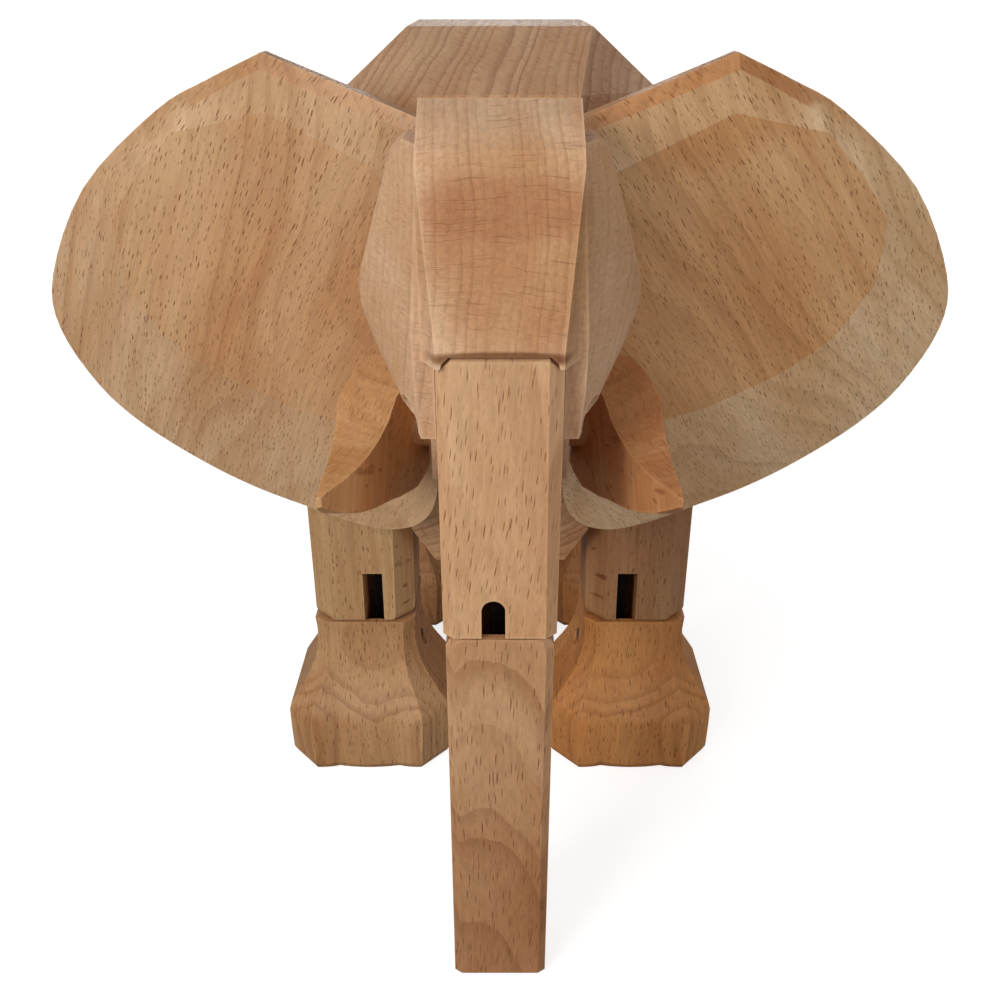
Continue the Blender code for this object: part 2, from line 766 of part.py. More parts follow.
def make_tail(mat):
    points = []
    for z, half, front, rear in (
        (129.5, 2.2, -1.8, 1.8),
        (128.0, 3.0, -2.8, 2.8),
        (122.0, 3.0, -2.8, 2.8),
        (97.0, 4.2, -3.0, 4.4),
        (88.0, 3.4, -2.2, 4.0),
        (84.5, 1.8, -0.8, 2.4),
    ):
        points.append((half, TAIL_AXIS_Y + front + 0.8, z))
        points.append((half - 1.0, TAIL_AXIS_Y + front, z))
        points.append((half, TAIL_AXIS_Y + rear - 0.8, z))
        points.append((half - 1.0, TAIL_AXIS_Y + rear, z))
    tail = hull("tail", mirrored(points), mat)
    at = (0, 0, TAIL_AXIS_Z)
    cut(tail, rod("tail_hole", "y", at, TAIL_AXIS_Y - 6, TAIL_AXIS_Y + 0.9, 1.5, 16))
    return tail


def wood(name, colour):
    return material(name, colour, 0.48)


def build():
    clear_scene()
    cord = material("black_elastic", (0.012, 0.012, 0.013), 0.35)
    dowel = wood("beech_dowel", (0.50, 0.30, 0.16))
    moved = []

    make_body(wood("beech_body", (0.56, 0.37, 0.21)))
    make_head(wood("beech_head", (0.60, 0.38, 0.25)))

    ear_axis = (0, EAR_AXIS_Y, EAR_AXIS_Z)
    for label, side in (("left", 1), ("right", -1)):
        ear = make_ear(f"ear_{label}", side, wood(f"beech_ear_{label}", (0.58, 0.35, 0.18)))
        moved.append((ear, ear_axis))
        make_tusk(f"tusk_{label}", side, wood(f"beech_tusk_{label}", (0.52, 0.30, 0.17)))

    pin_at = (0, TRUNK_PIN_Y, TRUNK_PIN_Z)
    upper = make_trunk_upper(wood("beech_trunk_upper", (0.64, 0.41, 0.22)))
    moved.append((upper, pin_at))
    lower = make_trunk_lower(wood("beech_trunk_lower", (0.62, 0.38, 0.21)))
    moved.append((lower, (0, TRUNK_FRONT_Y, TRUNK_SPLIT_Z)))
    rod("trunk_hinge_dowel", "x", pin_at, -13.3, 13.3, TRUNK_PIN_R, 24, dowel)
    anchor_at = (0, TRUNK_CORD_Y, TRUNK_ANCHOR_Z)
    rod("trunk_cord_dowel", "x", anchor_at, -9.6, 9.6, TRUNK_ANCHOR_R, 24, dowel)
    make_trunk_cord(cord)

    tusk_at = (0, TUSK_DOWEL_Y, TUSK_DOWEL_Z)
    rod("tusk_dowel", "x", tusk_at, -22.0, 22.0, TUSK_DOWEL_R, 20, dowel)
    rod("ear_cord", "x", ear_axis, -18.0, 18.0, CORD_R, 20, cord)
    neck_profile = [
        (-78.6, 1.2), (-78.2, 3.2), (-75.6, 3.2), (-74.8, CORD_R),
        (-51.4, CORD_R), (-50.6, 3.2), (-46.0, 3.2), (-45.4, 1.2),
    ]
    turned("neck_cord", "y", (0, 0, NECK_Z), neck_profile, 20, cord)

    for pair, axle_y in (("front", FRONT_AXLE_Y), ("rear", REAR_AXLE_Y)):
        make_axle_cord(f"{pair}_axle_cord", axle_y, cord)
        for label, side in (("left", 1), ("right", -1)):
            name = f"{pair}_{label}"
            tone = wood(f"beech_leg_{name}", (0.60, 0.40, 0.22))
            leg = make_upper_leg(f"{name}_upper_leg", side, axle_y, tone)
            moved.append((leg, (side * LEG_X, axle_y, AXLE_Z)))
            foot_tone = wood(f"beech_foot_{name}", (0.60, 0.37, 0.19))
            foot = make_foot(f"{name}_foot", side, axle_y, foot_tone)
            moved.append((foot, (side * LEG_X, axle_y - LEG_DEPTH, KNEE_Z)))
            make_leg_cord(f"{name}_leg_cord", side, axle_y, cord)
            at = (side * LEG_X, axle_y, FOOT_DOWEL_Z)
            rod(f"{name}_foot_dowel", "x", at, -13.1, 13.1, FOOT_DOWEL_R, 20, dowel)
            outer = LEG_X + LEG_HALF
            plug_at = (0, axle_y, AXLE_Z)
            rod(
                f"{name}_plug", "x", plug_at, side * (outer - 4.4), side * (outer + 0.2),
                PLUG_R, 24, dowel,
            )

    tail = make_tail(wood("beech_tail", (0.58, 0.37, 0.20)))
    moved.append((tail, (0, TAIL_AXIS_Y, TAIL_AXIS_Z)))
    rod("tail_cord", "y", (0, 0, TAIL_AXIS_Z), 48.0, TAIL_AXIS_Y + 0.6, 1.2, 16, cord)

    for obj, point in moved:
        place_origin(obj, point)


build()
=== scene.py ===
import math

import bmesh
import bpy
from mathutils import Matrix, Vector

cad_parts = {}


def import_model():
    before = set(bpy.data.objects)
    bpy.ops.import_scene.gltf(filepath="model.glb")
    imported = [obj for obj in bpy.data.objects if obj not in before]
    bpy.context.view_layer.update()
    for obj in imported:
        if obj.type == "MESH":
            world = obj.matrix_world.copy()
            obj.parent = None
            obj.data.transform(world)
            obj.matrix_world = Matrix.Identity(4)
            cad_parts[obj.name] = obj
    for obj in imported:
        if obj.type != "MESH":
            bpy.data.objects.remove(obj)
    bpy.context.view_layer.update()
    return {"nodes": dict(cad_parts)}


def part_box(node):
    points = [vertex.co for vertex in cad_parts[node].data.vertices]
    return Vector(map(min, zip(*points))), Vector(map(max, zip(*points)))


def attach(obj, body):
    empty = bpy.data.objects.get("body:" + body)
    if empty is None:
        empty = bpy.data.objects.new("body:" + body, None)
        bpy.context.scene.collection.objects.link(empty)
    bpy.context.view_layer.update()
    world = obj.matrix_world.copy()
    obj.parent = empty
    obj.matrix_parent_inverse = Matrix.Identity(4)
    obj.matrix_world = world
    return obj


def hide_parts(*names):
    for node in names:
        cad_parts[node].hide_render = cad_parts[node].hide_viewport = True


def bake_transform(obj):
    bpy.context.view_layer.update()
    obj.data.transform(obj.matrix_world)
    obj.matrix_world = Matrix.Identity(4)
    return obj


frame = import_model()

MM = 0.001
NODES = frame["nodes"]


# ---------------------------------------------------------------- node helpers


def srgb(r, g, b):
    """A linear colour from 0-255 display values."""
    out = []
    for v in (r, g, b):
        v = v / 255.0
        out.append(v / 12.92 if v <= 0.04045 else ((v + 0.055) / 1.055) ** 2.4)
    return (*out, 1.0)


def shaded(colour, shares):
    """A colour with its red, green and blue scaled by their shares, up to full brightness."""
    return tuple(min(1.0, c * k) for c, k in zip(colour[:3], shares)) + (1.0,)


class Tree:
    """Short calls for building a material's nodes."""

    def __init__(self, material):
        material.use_nodes = True
        self.tree = material.node_tree
        self.tree.nodes.clear()

    def node(self, kind, **settings):
        made = self.tree.nodes.new(kind)
        for name, value in settings.items():
            setattr(made, name, value)
        return made

    def put(self, socket, value):
        if isinstance(value, bpy.types.NodeSocket):
            self.tree.links.new(value, socket)
        elif value is not None:
            socket.default_value = value

    def math(self, operation, a, b=None, c=None):
        made = self.node("ShaderNodeMath", operation=operation)
        for socket, value in zip(made.inputs, (a, b, c)):
            self.put(socket, value)
        return made.outputs[0]

    def vector(self, operation, a, b=None, scale=None):
        made = self.node("ShaderNodeVectorMath", operation=operation)
        self.put(made.inputs[0], a)
        self.put(made.inputs[1], b)
        if scale is not None:
            self.put(made.inputs["Scale"], scale)
        single = operation in ("DOT_PRODUCT", "LENGTH", "DISTANCE")
        return made.outputs["Value" if single else "Vector"]

    def combine(self, x, y, z):
        made = self.node("ShaderNodeCombineXYZ")
        for socket, value in zip(made.inputs, (x, y, z)):
            self.put(socket, value)
        return made.outputs[0]

    def split(self, vector):
        made = self.node("ShaderNodeSeparateXYZ")
        self.put(made.inputs[0], vector)
        return made.outputs

    def noise(self, vector, scale=1.0, detail=2.0, roughness=0.5, kind="3D", w=None):
        made = self.node("ShaderNodeTexNoise", noise_dimensions=kind)
        if kind != "1D":
            self.put(made.inputs["Vector"], vector)
        if w is not None:
            self.put(made.inputs["W"], w)
        made.inputs["Scale"].default_value = scale
        made.inputs["Detail"].default_value = detail
        made.inputs["Roughness"].default_value = roughness
        return made.outputs

    def step(self, value, low, high, to_low=0.0, to_high=1.0):
        """A smooth step of value, from to_low at low to to_high at high."""
        made = self.node("ShaderNodeMapRange", interpolation_type="SMOOTHSTEP")
        made.inputs["From Min"].default_value = low
        made.inputs["From Max"].default_value = high
        made.inputs["To Min"].default_value = to_low
        made.inputs["To Max"].default_value = to_high
        self.put(made.inputs["Value"], value)
        return made.outputs["Result"]

    def mix(self, share, a, b, blend="MIX"):
        made = self.node("ShaderNodeMix", data_type="RGBA", blend_type=blend)
        self.put(made.inputs["Factor"], share)
        self.put(made.inputs[6], a)
        self.put(made.inputs[7], b)
        return made.outputs[2]

    def finish(self, colour, roughness, height=None, bump=0.2, **extra):
        """Ends a surface: height is in millimetres, and extra holds other Principled inputs."""
        shader = self.node("ShaderNodeBsdfPrincipled")
        self.put(shader.inputs["Base Color"], colour)
        self.put(shader.inputs["Roughness"], roughness)
        for name, value in extra.items():
            self.put(shader.inputs[name.replace("_", " ")], value)
        if height is not None:
            made = self.node("ShaderNodeBump")
            made.inputs["Strength"].default_value = bump
            made.inputs["Distance"].default_value = MM
            self.put(made.inputs["Height"], height)
            self.put(shader.inputs["Normal"], made.outputs[0])
        out = self.node("ShaderNodeOutputMaterial")
        self.tree.links.new(shader.outputs[0], out.inputs["Surface"])


# ---------------------------------------------------------------------- wood

# cells of noise per millimetre: out from the log's heart, round it and along the grain
BEND_CELLS = (0.035, 0.035, 0.016)
RIPPLE_CELLS = (0.35, 0.35, 0.08)
TONE_CELLS = (0.11, 0.05, 0.012)
STREAK_CELLS = (1.5, 1.5, 0.05)
HAIR_CELLS = (6.0, 6.0, 0.35)
SPECKLE_CELLS = 2.2
RING_CELLS = 0.11

# the width, in millimetres, of the range that noise moves a place in
BEND_SHIFT = 7.0
RIPPLE_SHIFT = 0.55

# growth rings: how many the count can gain, where the dark part starts and ends, its curve
RING_DRIFT = 2.6
LATE_START = 0.25
LATE_PEAK = 0.96
LATE_STOP = 0.97
LATE_POWER = 2.2

# ray flecks: where the noise starts, cells round the heart in millimetres, how many have one
SHORT_START = 1.3
SHORT_SPACING = 0.84
SHORT_SHARE = 0.95
LONG_START = 7.9
LONG_SPACING = 1.8
LONG_SHARE = 0.7

FIBRE = 0.10  # share by which streaks of fibre darken and lighten the wood

# shares of the wood's red, green and blue
RING_TINT = (0.66, 0.55, 0.45)
FLECK_TINT = (0.44, 0.27, 0.16)
# the paler edges' tint: partly rubbed wood, partly a painted highlight
EDGE_WEAR_AND_LIGHT_TINT = (1.18, 1.24, 1.32)

# how far a normal has turned from the flat face's where the band of painted highlight starts, and
# where the rim of painted shade does
BAND_TURN = (0.012, 0.03)
RIM_TURN = (0.35, 0.5)
# for the paler edges, partly a painted highlight: the dot product of a face's normal and the rounded
# one: at a full edge, then on flat wood
EDGE_DOT = (0.84, 0.998)


def log_axes(grain, outward):
    """Three directions in the log: away from its heart, round it and along the grain."""
    along = Vector(grain).normalized()
    out = Vector(outward)
    out = (out - along * out.dot(along)).normalized()
    return out, along.cross(out), along


def spread(t, place, cells, offset=None):
    """Noise coordinates for a place in the log, its three values scaled by cells."""
    spot = t.combine(*(t.math("MULTIPLY", value, count) for value, count in zip(place, cells)))
    return spot if offset is None else t.vector("ADD", spot, offset)


def bent(t, place, cells, offset, shift, roughness):
    """A place in the log, moved across the grain by noise."""
    noise = t.noise(spread(t, place, cells, offset), roughness=roughness)
    x, y = (
        t.math("MULTIPLY_ADD", t.math("SUBTRACT", part, 0.5), shift, value)
        for part, value in zip(t.split(noise["Color"]), place[:2])
    )
    return x, y, place[2]


def late_wood(t, radius, ring):
    """How dark the growth rings are: each darkens slowly and ends in a thin dark line."""
    drift = t.noise(None, RING_CELLS, roughness=0.6, kind="1D", w=radius)[0]
    count = t.math("MULTIPLY_ADD", drift, RING_DRIFT, t.math("DIVIDE", radius, ring))
    phase = t.math("FRACT", count)
    dark = t.math("POWER", t.step(phase, LATE_START, LATE_PEAK), LATE_POWER)
    dark = t.math("MULTIPLY", dark, t.step(phase, LATE_STOP, 1.0, 1.0, 0.0))
    weight = t.node("ShaderNodeTexWhiteNoise", noise_dimensions="1D")
    t.put(weight.inputs["W"], t.math("FLOOR", count))
    return t.math("MULTIPLY", dark, t.math("MULTIPLY_ADD", weight.outputs["Value"], 0.7, 0.3))


def rays(t, place, cell, half, start, seed, share):
    """Flecks with half sizes half: one in each cell of the log, of which a share are kept."""
    spot = t.combine(*(t.math("DIVIDE", value, size) for value, size in zip(place, cell)))
    spot = t.vector("ADD", spot, (start + seed, start * 2.3, start - seed))
    cells = t.node("ShaderNodeTexVoronoi", feature="F1", voronoi_dimensions="3D")
    cells.inputs["Scale"].default_value = 1.0
    cells.inputs["Randomness"].default_value = 1.0
    t.put(cells.inputs["Vector"], spot)
    gap = t.vector("SUBTRACT", spot, cells.outputs["Position"])
    gap = t.vector("MULTIPLY", gap, tuple(c / h for c, h in zip(cell, half)))
    draw = t.split(cells.outputs["Color"])
    size = t.math("MULTIPLY_ADD", draw[1], 0.65, 0.6)
    far = t.math("DIVIDE", t.vector("LENGTH", gap), size)
    shape = t.step(far, 0.6, 1.1, 1.0, 0.0)
    kept = t.math("LESS_THAN", draw[0], share)
    depth = t.math("MULTIPLY_ADD", draw[2], 0.5, 0.5)
    return t.math("MULTIPLY", shape, t.math("MULTIPLY", kept, depth))


def ray_flecks(t, place, reach, slim, length, seed):
    """Thin ribbons that run out from the heart, seen as dashes: many short ones, fewer long ones."""
    cell = (2.0 * reach, SHORT_SPACING, 3.0 * length)
    half = (reach, slim, length)
    short = rays(t, place, cell, half, SHORT_START, seed, SHORT_SHARE)
    cell = (2.6 * reach, LONG_SPACING, 5.4 * length)
    half = (1.2 * reach, 1.15 * slim, 1.25 * length)
    long = rays(t, place, cell, half, LONG_START, seed, LONG_SHARE)
    return t.math("MAXIMUM", short, long)


def varied(t, colour, value, low, high, least, most):
    """A colour scaled by a share that goes from least to most as value goes from low to high."""
    level = t.step(value, low, high, least, most)
    return t.mix(1.0, colour, t.combine(level, level, level), "MULTIPLY")


def painted_facet_light(t, colour, normal, band_tint, rim_tint):
    """Tints the shallow band round a broad flat face as a painted highlight, and the steep rim
    outside the band as painted shade.
    """
    facing = t.node("ShaderNodeTexCoord").outputs["Normal"]
    turned = t.vector("DISTANCE", facing, normal)
    tint = t.mix(t.step(turned, *RIM_TURN), (*band_tint, 1.0), (*rim_tint, 1.0))
    return t.mix(t.step(turned, *BAND_TURN), colour, t.mix(1.0, colour, tint, "MULTIPLY"))


def rubbed_and_lit_edges(t, colour, pale, radius, share):
    """Paler wood along the edges, where a normal rounded over radius differs from the face's: partly
    rubbed wood, partly a painted highlight.
    """
    soft = t.node("ShaderNodeBevel", samples=4)
    soft.inputs["Radius"].default_value = radius * MM
    flat = t.node("ShaderNodeNewGeometry").outputs["Normal"]
    edge = t.vector("DOT_PRODUCT", soft.outputs[0], flat)
    edge = t.step(edge, *EDGE_DOT, 1.0, 0.0)
    return t.mix(t.math("MULTIPLY", edge, share), colour, shaded(pale, EDGE_WEAR_AND_LIGHT_TINT))


def tinted_and_shaded(t, colour, at, tints_and_shade):
    """Tints ellipsoids, most of them painted shade: each is its centre, half sizes, the share at full
    tint, and the tint.
    """
    for centre, sizes, full, tint in tints_and_shade:
        apart = t.vector("SUBTRACT", at, centre)
        apart = t.vector("LENGTH", t.vector("DIVIDE", apart, sizes))
        tinted = t.mix(1.0, colour, (*tint, 1.0), "MULTIPLY")
        colour = t.mix(t.step(apart, full, 1.0, 1.0, 0.0), colour, tinted)
    return colour


def beech(
    name,
    pale,
    deep,
    centre,
    grain=(0, 0, 1),
    outward=(0, -1, 0),
    heart=60.0,
    ring=2.6,
    rings=0.35,
    flecks=0.8,
    fleck_length=0.85,
    seed=0.0,
    tints_and_shade=(),
    facet=None,
    edge_wear_and_light=(0.9, 0.4),
    reach=3.4,
    slim=0.095,
):
    """Beech with growth rings round a heart line, short dark ray flecks, fibre and fine pores.

    grain is the direction of the grain and outward the direction from the heart to
    centre, which lies heart millimetres from it. ring is the width of a growth ring.
    rings and flecks say how strongly those show. reach, slim and fleck_length are a
    fleck's half sizes. wear is the width and strength of the paler edges, partly rubbed
    wood and partly a painted highlight. stains are for stained, most of them painted shade,
    and facet, where there is one, is for banded: a painted highlight on its band and
    painted shade on its rim.
    """
    material = bpy.data.materials.new(name)
    t = Tree(material)
    axes = log_axes(grain, outward)
    at = t.vector("SCALE", t.node("ShaderNodeTexCoord").outputs["Object"], scale=1.0 / MM)
    start = Vector(centre) / MM - axes[0] * heart
    here = t.vector("SUBTRACT", at, tuple(start))
    place = [t.vector("DOT_PRODUCT", here, tuple(axis)) for axis in axes]
    place = bent(t, place, BEND_CELLS, (seed, seed * 0.37, -seed), BEND_SHIFT, 0.45)
    place = bent(t, place, RIPPLE_CELLS, (seed * 1.7, 3.1, seed), RIPPLE_SHIFT, 0.5)

    x, y, z = place
    radius = t.math("SQRT", t.math("MULTIPLY_ADD", x, x, t.math("MULTIPLY", y, y)))
    round_it = t.math("MULTIPLY", t.math("ARCTAN2", y, x), heart)
    place = (radius, round_it, z)
    late = late_wood(t, radius, ring)
    tone = t.noise(spread(t, place, TONE_CELLS, (seed, -seed, 2.0)), detail=3.0, roughness=0.55)[0]
    streaks = t.noise(spread(t, place, STREAK_CELLS), detail=3.0, roughness=0.62)[0]
    hairs = t.noise(spread(t, place, HAIR_CELLS), roughness=0.6)[0]
    fleck = ray_flecks(t, place, reach, slim, fleck_length, seed)
    speckles = t.noise(t.vector("ADD", here, (seed, 0, 0)), SPECKLE_CELLS, roughness=0.7)[0]

    colour = t.mix(t.step(tone, 0.3, 0.7), pale, deep)
    colour = t.mix(t.math("MULTIPLY", late, rings), colour, shaded(deep, RING_TINT))
    colour = varied(t, colour, streaks, 0.28, 0.72, 1.0 - FIBRE, 1.0 + FIBRE)
    colour = varied(t, colour, hairs, 0.3, 0.7, 0.965, 1.03)
    colour = varied(t, colour, speckles, 0.3, 0.7, 0.97, 1.025)
    colour = t.mix(t.math("MULTIPLY", fleck, flecks), colour, shaded(deep, FLECK_TINT))
    # the ears' front facets: a painted highlight on the band round each, painted shade on its rim
    if facet is not None:
        colour = painted_facet_light(t, colour, *facet)
    # paler edges: partly rubbed wood, partly a painted highlight along the rounded edges
    colour = rubbed_and_lit_edges(t, colour, pale, *edge_wear_and_light)
    # tinted ellipsoids, most of them painted shade
    colour = tinted_and_shaded(t, colour, at, tints_and_shade)

    rough = t.step(streaks, 0.25, 0.75, 0.40, 0.52)
    rough = t.math("MULTIPLY_ADD", fleck, 0.15, rough)
    height = t.math("MULTIPLY", streaks, 0.10)
    for value, share in ((hairs, 0.06), (fleck, -0.10), (late, 0.05)):
        height = t.math("MULTIPLY_ADD", value, share, height)
    t.finish(colour, rough, height, 0.5, Specular_IOR_Level=0.42)
    return material


def dark_wood(name, colour):
    """A dowel's wood: brown, with fine pores and faint darker patches."""
    material = bpy.data.materials.new(name)
    t = Tree(material)
    place = t.node("ShaderNodeTexCoord").outputs["Object"]
    here = t.vector("SCALE", place, scale=1.0 / MM)
    pores = t.noise(here, 3.0, 3.0, 0.65)[0]
    slow = t.noise(here, 0.35, 2.0, 0.5)[0]
    dark = shaded(colour, (0.55, 0.55, 0.55))
    shade = t.mix(t.step(pores, 0.3, 0.7), dark, colour)
    shade = t.mix(t.step(slow, 0.35, 0.65, 0.0, 0.35), shade, dark)
    t.finish(shade, t.step(pores, 0.3, 0.7, 0.5, 0.65), pores, 0.3)
    return material


def elastic(name):
    """Black elastic cord with a woven sleeve."""
    material = bpy.data.materials.new(name)
    t = Tree(material)
    place = t.node("ShaderNodeTexCoord").outputs["Object"]
    here = t.vector("SCALE", place, scale=1.0 / MM)
    weave = t.noise(here, 4.0, 3.0, 0.6)[0]
    fuzz = t.noise(here, 14.0, 2.0, 0.6)[0]
    colour = t.mix(t.step(weave, 0.35, 0.65), srgb(24, 23, 24), srgb(58, 57, 60))
    colour = t.mix(t.step(fuzz, 0.4, 0.7, 0.0, 0.4), colour, srgb(86, 85, 88))
    t.finish(colour, t.step(weave, 0.3, 0.7, 0.55, 0.75), fuzz, 0.25, Sheen_Weight=0.35)
    return material


# -------------------------------------------------------------------- pieces

HEAD_TONES = (srgb(223, 184, 148), srgb(208, 160, 120))
BODY_TONES = (srgb(203, 161, 122), srgb(188, 138, 98))
EAR_LEFT_TONES = (srgb(223, 177, 128), srgb(205, 150, 98))
EAR_RIGHT_TONES = (srgb(211, 170, 128), srgb(193, 143, 97))
TRUNK_TONES = (srgb(221, 180, 138), srgb(204, 153, 109))
TRUNK_LOW_TONES = (srgb(203, 160, 120), srgb(184, 133, 90))
TUSK_LEFT_TONES = (srgb(202, 146, 98), srgb(180, 118, 70))
TUSK_RIGHT_TONES = (srgb(216, 169, 118), srgb(196, 140, 88))
# the front left leg's deeper tones are partly its own wood and partly painted shade, as it stands in
# the trunk's shade
LEG_TONES = {
    "front_left": (srgb(176, 130, 89), srgb(160, 108, 70)),
    "front_right": (srgb(203, 167, 120), srgb(186, 142, 97)),
    "rear_left": (srgb(192, 138, 88), srgb(174, 116, 68)),
    "rear_right": (srgb(206, 162, 114), srgb(188, 140, 92)),
}
FOOT_TONES = {
    "front_left": (srgb(209, 148, 88), srgb(191, 124, 66)),
    "front_right": (srgb(196, 152, 107), srgb(179, 128, 82)),
    "rear_left": (srgb(196, 138, 84), srgb(178, 116, 64)),
    "rear_right": (srgb(198, 150, 102), srgb(180, 126, 78)),
}
# painted shade on the ears' steep rims
EAR_RIM_SHADE = (0.84, 0.76, 0.68)
# the forehead deepened as painted shade, a redder patch below the brow, the lip over the trunk
# darkened as painted shade in the seam, and the top of the head darkened as painted shade
HEAD_TINTS_AND_SHADE = (
    ((2.0, -89.0, 144.0), (18.0, 18.0, 25.0), 0.45, (0.75, 0.62, 0.46)),
    ((1.0, -87.0, 148.8), (18.0, 9.0, 6.0), 0.5, (0.86, 0.76, 0.69)),
    ((0.0, -93.0, 127.6), (15.0, 9.0, 1.5), 0.6, (0.40, 0.29, 0.20)),
    ((0.0, -72.0, 163.0), (30.0, 15.0, 9.5), 0.4, (0.82, 0.82, 0.82)),
)
# painted shade: the lower trunk darker towards its tip at the floor, where less light reaches
TRUNK_TIP_SHADE = (((0.0, -82.0, 0.0), (75.0, 75.0, 75.0), 0.2, (0.74, 0.62, 0.52)),)

FACING_FORWARD = -0.3  # a front facet's normal has less than this along Y
SAME_NORMAL = 0.004  # normals nearer than this belong to one facet
WELD_GAP = 2e-6
FLAT_DEGREES = 0.6  # triangles that meet at less than this are one flat face
BEVEL_SEGMENTS = 3


def middle(node):
    """The middle of a CAD node's box, in metres."""
    low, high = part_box(node)
    return tuple((low + high) / 2)


def front_facet(node):
    """The normal of a node's broadest flat face, of those that look forward."""
    areas = {}
    for face in NODES[node].data.polygons:
        if face.normal.y < FACING_FORWARD:
            key = tuple(round(v, 3) for v in face.normal)
            areas[key] = areas.get(key, 0.0) + face.area
    return max(sorted(areas), key=areas.get)


def keep_flat(node, normal):
    """Marks the rim of a node's flat face as sharp, so it catches the light as one facet."""
    mesh = NODES[node].data
    found = {}
    for face in mesh.polygons:
        flat = (face.normal - Vector(normal)).length < SAME_NORMAL
        for key in face.edge_keys:
            found.setdefault(key, []).append(flat)
    sharp = mesh.attributes.get("sharp_edge")
    if sharp is None:
        sharp = mesh.attributes.new("sharp_edge", "BOOLEAN", "EDGE")
    for edge in mesh.edges:
        sides = found[edge.key]
        if any(sides) and (len(sides) == 1 or not all(sides)):
            sharp.data[edge.index].value = True


def soften(obj, width, angle):
    """Rounds a CAD block's edges with modifiers, where they turn more than angle degrees.

    width is in millimetres. The block's own vertices and faces stay as imported.
    """
    mesh = obj.data
    normals = mesh.attributes.get("custom_normal")
    if normals is not None:
        mesh.attributes.remove(normals)
    mesh.shade_smooth()
    weld = obj.modifiers.new("weld", "WELD")
    weld.merge_threshold = WELD_GAP
    flat = obj.modifiers.new("flat", "DECIMATE")
    flat.decimate_type = "DISSOLVE"
    flat.angle_limit = math.radians(FLAT_DEGREES)
    bevel = obj.modifiers.new("bevel", "BEVEL")
    bevel.width = width * MM
    bevel.segments = BEVEL_SEGMENTS
    bevel.limit_method = "ANGLE"
    bevel.angle_limit = math.radians(angle)
    bevel.harden_normals = True
    bevel.use_clamp_overlap = True
    bevel.miter_outer = "MITER_ARC"


def dress(node, material, width, angle=14.0, flat=None):
    """Gives a CAD node its material and rounded edges; flat is the normal of a face kept flat."""
    obj = NODES[node]
    obj.data.materials.clear()
    obj.data.materials.append(material)
    soften(obj, width, angle)
    if flat is not None:
        keep_flat(node, flat)


dress(
    "body",
    beech(
        "body_beech", *BODY_TONES, grain=(0, 1, 0), outward=(0.86, 0, -0.46),
        centre=(0, 0, 0.160), heart=74, ring=2.1, rings=0.9, flecks=0.35, seed=1.0,
        edge_wear_and_light=(1.0, 0.3),
    ),
    0.9,
)
dress(
    "head",
    beech(
        "head_beech", *HEAD_TONES, grain=(0, 1, 0.05), outward=(1, 0, -0.12),
        centre=(0, -0.06, 0.13), heart=150, ring=1.35, rings=0.42, flecks=0.44, seed=2.0,
        tints_and_shade=HEAD_TINTS_AND_SHADE, edge_wear_and_light=(1.1, 0.75), reach=2.6, slim=0.06,
    ),
    0.6,
)
# band is a painted highlight on the bevel round each ear's front facet, and crest painted shade on
# the ear's top
for name, side, tilt, tones, band, crest in (
    ("ear_left", 1, 0.62, EAR_LEFT_TONES, (1.12, 1.34, 1.66), (0.88, 0.76, 0.63)),
    ("ear_right", -1, 0.38, EAR_RIGHT_TONES, (1.02, 1.09, 1.18), (0.97, 0.93, 0.88)),
):
    front = front_facet(name)
    dress(
        name,
        beech(
            f"{name}_beech", *tones, grain=(side * tilt, 0.38, -0.87),
            outward=(side * 0.6, -0.8, 0.1), centre=middle(name), heart=85, ring=2.4,
            rings=0.38, flecks=0.95, fleck_length=0.72, seed=3.0 + side,
            facet=(front, band, EAR_RIM_SHADE),
            # a deeper middle, and the ear's top darkened as painted shade
            tints_and_shade=(
                ((side * 42.0, -42.0, 122.0), (42.0, 42.0, 42.0), 0.3, (0.98, 0.91, 0.84)),
                ((side * 32.0, -50.0, 160.0), (25.0, 30.0, 15.0), 0.5, crest),
            ),
        ),
        0.5, 24.0, flat=front,
    )
for name, side, tones in (("tusk_left", 1, TUSK_LEFT_TONES), ("tusk_right", -1, TUSK_RIGHT_TONES)):
    dress(
        name,
        beech(
            f"{name}_beech", *tones, grain=(side * 0.2, -0.25, -1),
            outward=(side * 0.3, -1, 0), centre=middle(name), heart=50, ring=2.4,
            rings=0.3, flecks=0.6, fleck_length=0.7, seed=6.0 + side,
        ),
        0.4, 24.0,
    )
dress(
    "trunk_upper",
    beech(
        "trunk_upper_beech", *TRUNK_TONES, grain=(0.08, 0.13, 1), outward=(0.35, -1, 0),
        centre=middle("trunk_upper"), heart=32, ring=3.6, rings=0.38, flecks=1.0,
        fleck_length=1.1, slim=0.075, seed=9.0,
    ),
    0.5,
)
dress(
    "trunk_lower",
    beech(
        "trunk_lower_beech", *TRUNK_LOW_TONES, grain=(0.03, 0.20, 1), outward=(0.15, -1, 0),
        centre=middle("trunk_lower"), heart=26, ring=3.3, rings=0.62, flecks=1.0,
        fleck_length=1.3, slim=0.07, seed=10.5,
        tints_and_shade=TRUNK_TIP_SHADE,
    ),
    0.6,
)
corner_seed = 12.0
